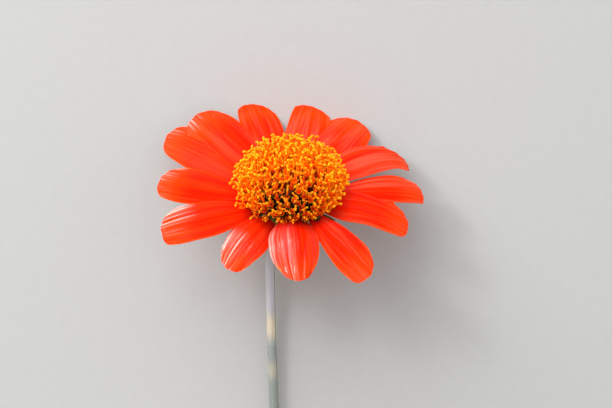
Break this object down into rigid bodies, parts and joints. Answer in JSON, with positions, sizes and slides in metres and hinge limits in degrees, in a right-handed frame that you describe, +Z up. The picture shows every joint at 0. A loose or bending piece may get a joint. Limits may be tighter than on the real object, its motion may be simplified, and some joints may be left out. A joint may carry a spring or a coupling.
{
  "type": "mexican sunflower bloom",
  "caption": "Cut bloom with a ring of notched vermilion rays, a domed orange disc of forked florets, a green bracted cup and a slender curved stem, lying on a surface.",
  "frame": {"origin": "on the surface that the bloom lies on, under the middle of its box", "axes": "+Z up from the surface, +Y from the cut end of the stem towards the head"},
  "size_m": [0.0711, 0.1415, 0.0409],
  "materials": {
    "ray_petal": "satin vermilion petal, ribbed lengthwise, redder at the root",
    "disc_floret": "matte yellow-orange florets with brown anthers",
    "bract_green": "matte mid green, downy",
    "stem_skin": "matte pale grey-green, downy, pale pith at the cut end"
  },
  "bodies": {
    "root": {"ray_florets": "ray_petal", "disc_florets": "disc_floret", "involucre": "bract_green", "stem": "stem_skin"}
  },
  "joints": []
}
